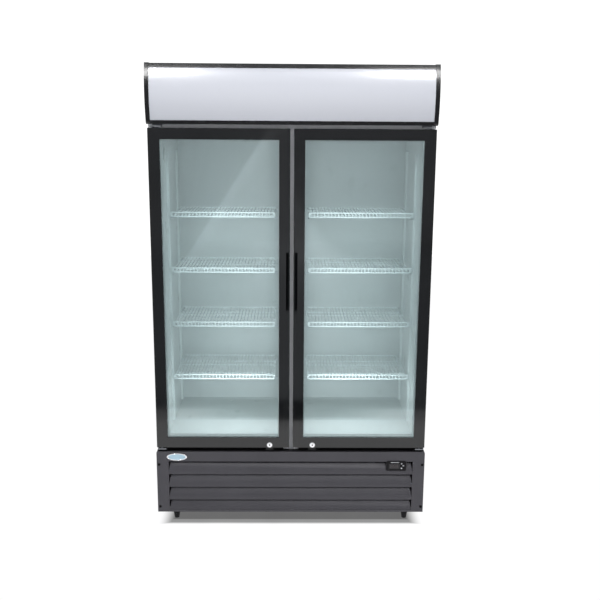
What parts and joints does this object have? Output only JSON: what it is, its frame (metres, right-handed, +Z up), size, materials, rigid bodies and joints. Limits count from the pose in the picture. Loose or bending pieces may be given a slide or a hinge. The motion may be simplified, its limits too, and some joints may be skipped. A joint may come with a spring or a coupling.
{
  "type": "glass door merchandiser",
  "caption": "Upright display refrigerator with glazed swing doors, adjustable wire shelves, an arched blank light-box sign and a louvred machine bay.",
  "frame": {"origin": "on the floor, under the middle of the footprint", "axes": "+Z up, doors face -Y, +X is to the right of someone facing the doors"},
  "size_m": [1.2, 0.73, 1.995],
  "materials": {
    "shell_paint": "semi-gloss charcoal powder coat",
    "galvanised": "plain galvanised sheet",
    "base_paint": "satin black paint",
    "foam": "foamed-in-place polyurethane",
    "liner_white": "white stove enamel on sheet",
    "frame_grey": "satin grey extrusion",
    "upright_white": "white enamelled slotted channel",
    "clip_zinc": "zinc plated",
    "fin_aluminium": "mill-finish fins",
    "motor_paint": "dark grey paint",
    "compressor_black": "black paint on a steel shell",
    "copper_tube": "drawn copper tube",
    "black_plastic": "textured black plastic",
    "cord_rubber": "black cord sheath",
    "panel_charcoal": "semi-gloss charcoal grey paint",
    "screw_black": "black oxide",
    "display_glass": "dark display window",
    "badge_metal": "plain pale blue oval",
    "lamp_white": "opal diffuser",
    "sign_acrylic": "blank opal acrylic",
    "cap_black": "gloss black moulding",
    "trim_black": "black anodised extrusion",
    "bracket_zinc": "zinc plated plate",
    "fan_black": "moulded blades",
    "wire_white": "white plastic-coated wire",
    "foot_black": "black plastic over a steel stud",
    "door_black": "gloss black extrusion",
    "door_glass": "clear insulated glass with a slight green tint",
    "spacer_aluminium": "desiccant spacer bar",
    "gasket_grey": "soft magnetic gasket",
    "lock_chrome": "polished plating",
    "button_grey": "grey keys"
  },
  "bodies": {
    "cabinet": {"side_panels": "shell_paint", "back_panel": "galvanised", "top_panel": "galvanised", "base_frame": "base_paint", "insulation": "foam", "inner_liner": "liner_white", "front_frame": "frame_grey", "shelf_uprights": "upright_white", "shelf_clips": "clip_zinc", "evaporator_housing": "liner_white", "evaporator_coil": "fin_aluminium", "fan_motors": "motor_paint", "compressor": "compressor_black", "condenser_coil": "fin_aluminium", "condenser_shroud": "galvanised", "refrigerant_tubing": "copper_tube", "condensate_tray": "black_plastic", "power_cord": "cord_rubber", "rear_grille": "galvanised", "front_grille": "panel_charcoal", "screws": "screw_black", "controller_body": "black_plastic", "controller_display": "display_glass", "badge": "badge_metal", "led_lamps": "lamp_white", "canopy_housing": "galvanised", "canopy_sign_panel": "sign_acrylic", "canopy_end_caps": "cap_black", "canopy_trims": "trim_black", "hinge_brackets": "bracket_zinc"},
    "door_left": {"door_frame_left": "door_black", "door_glass_left": "door_glass", "glass_spacer_left": "spacer_aluminium", "gasket_left": "gasket_grey", "lock_barrel_left": "lock_chrome"},
    "lock_left": {"lock_plug_left": "lock_chrome"},
    "evaporator_rotor_left": {"evaporator_fan_left": "fan_black"},
    "shelf_body_left_1": {"shelf_left_1": "wire_white"},
    "shelf_body_left_2": {"shelf_left_2": "wire_white"},
    "shelf_body_left_3": {"shelf_left_3": "wire_white"},
    "shelf_body_left_4": {"shelf_left_4": "wire_white"},
    "foot_body_front_left": {"foot_front_left": "foot_black"},
    "foot_body_rear_left": {"foot_rear_left": "foot_black"},
    "door_right": {"door_frame_right": "door_black", "door_glass_right": "door_glass", "glass_spacer_right": "spacer_aluminium", "gasket_right": "gasket_grey", "lock_barrel_right": "lock_chrome"},
    "lock_right": {"lock_plug_right": "lock_chrome"},
    "evaporator_rotor_right": {"evaporator_fan_right": "fan_black"},
    "shelf_body_right_1": {"shelf_right_1": "wire_white"},
    "shelf_body_right_2": {"shelf_right_2": "wire_white"},
    "shelf_body_right_3": {"shelf_right_3": "wire_white"},
    "shelf_body_right_4": {"shelf_right_4": "wire_white"},
    "foot_body_front_right": {"foot_front_right": "foot_black"},
    "foot_body_rear_right": {"foot_rear_right": "foot_black"},
    "condenser_rotor": {"condenser_fan": "fan_black"},
    "key_set": {"button_set": "button_grey"},
    "key_up": {"button_up": "button_grey"},
    "key_down": {"button_down": "button_grey"}
  },
  "joints": [
    {"name": "door_left_hinge", "type": "hinge", "parent": "cabinet", "child": "door_left", "pos_m": [-0.575, -0.323, 1.039], "axis": [0, 0, -1], "range_deg": [0, 110]},
    {"name": "door_right_hinge", "type": "hinge", "parent": "cabinet", "child": "door_right", "pos_m": [0.575, -0.323, 1.039], "axis": [0, 0, 1], "range_deg": [0, 110]},
    {"name": "lock_left_turn", "type": "hinge", "parent": "door_left", "child": "lock_left", "pos_m": [-0.095, -0.33, 0.3555], "axis": [0, -1, 0], "range_deg": [0, 90]},
    {"name": "lock_right_turn", "type": "hinge", "parent": "door_right", "child": "lock_right", "pos_m": [0.095, -0.33, 0.3555], "axis": [0, 1, 0], "range_deg": [0, 90]},
    {"name": "condenser_fan_spin", "type": "hinge", "parent": "cabinet", "child": "condenser_rotor", "pos_m": [-0.18, -0.127, 0.16], "axis": [0, 1, 0], "continuous": true},
    {"name": "evaporator_fan_left_spin", "type": "hinge", "parent": "cabinet", "child": "evaporator_rotor_left", "pos_m": [-0.23, 0.06, 1.746], "axis": [0, 0, 1], "continuous": true},
    {"name": "evaporator_fan_right_spin", "type": "hinge", "parent": "cabinet", "child": "evaporator_rotor_right", "pos_m": [0.23, 0.06, 1.746], "axis": [0, 0, 1], "continuous": true},
    {"name": "shelf_left_1_lift", "type": "slide", "parent": "cabinet", "child": "shelf_body_left_1", "axis": [0, 0, 1], "range_m": [0, 0.04]},
    {"name": "shelf_left_2_lift", "type": "slide", "parent": "cabinet", "child": "shelf_body_left_2", "axis": [0, 0, 1], "range_m": [0, 0.04]},
    {"name": "shelf_left_3_lift", "type": "slide", "parent": "cabinet", "child": "shelf_body_left_3", "axis": [0, 0, 1], "range_m": [0, 0.04]},
    {"name": "shelf_left_4_lift", "type": "slide", "parent": "cabinet", "child": "shelf_body_left_4", "axis": [0, 0, 1], "range_m": [0, 0.04]},
    {"name": "shelf_right_1_lift", "type": "slide", "parent": "cabinet", "child": "shelf_body_right_1", "axis": [0, 0, 1], "range_m": [0, 0.04]},
    {"name": "shelf_right_2_lift", "type": "slide", "parent": "cabinet", "child": "shelf_body_right_2", "axis": [0, 0, 1], "range_m": [0, 0.04]},
    {"name": "shelf_right_3_lift", "type": "slide", "parent": "cabinet", "child": "shelf_body_right_3", "axis": [0, 0, 1], "range_m": [0, 0.04]},
    {"name": "shelf_right_4_lift", "type": "slide", "parent": "cabinet", "child": "shelf_body_right_4", "axis": [0, 0, 1], "range_m": [0, 0.04]},
    {"name": "foot_front_left_screw", "type": "slide", "parent": "cabinet", "child": "foot_body_front_left", "axis": [0, 0, 1], "range_m": [-0.02, 0]},
    {"name": "foot_front_right_screw", "type": "slide", "parent": "cabinet", "child": "foot_body_front_right", "axis": [0, 0, 1], "range_m": [-0.02, 0]},
    {"name": "foot_rear_left_screw", "type": "slide", "parent": "cabinet", "child": "foot_body_rear_left", "axis": [0, 0, 1], "range_m": [-0.02, 0]},
    {"name": "foot_rear_right_screw", "type": "slide", "parent": "cabinet", "child": "foot_body_rear_right", "axis": [0, 0, 1], "range_m": [-0.02, 0]},
    {"name": "button_set_press", "type": "slide", "parent": "cabinet", "child": "key_set", "axis": [0, 1, 0], "range_m": [0, 0.001], "stiffness_N_per_m": 400},
    {"name": "button_up_press", "type": "slide", "parent": "cabinet", "child": "key_up", "axis": [0, 1, 0], "range_m": [0, 0.001], "stiffness_N_per_m": 400},
    {"name": "button_down_press", "type": "slide", "parent": "cabinet", "child": "key_down", "axis": [0, 1, 0], "range_m": [0, 0.001], "stiffness_N_per_m": 400}
  ]
}
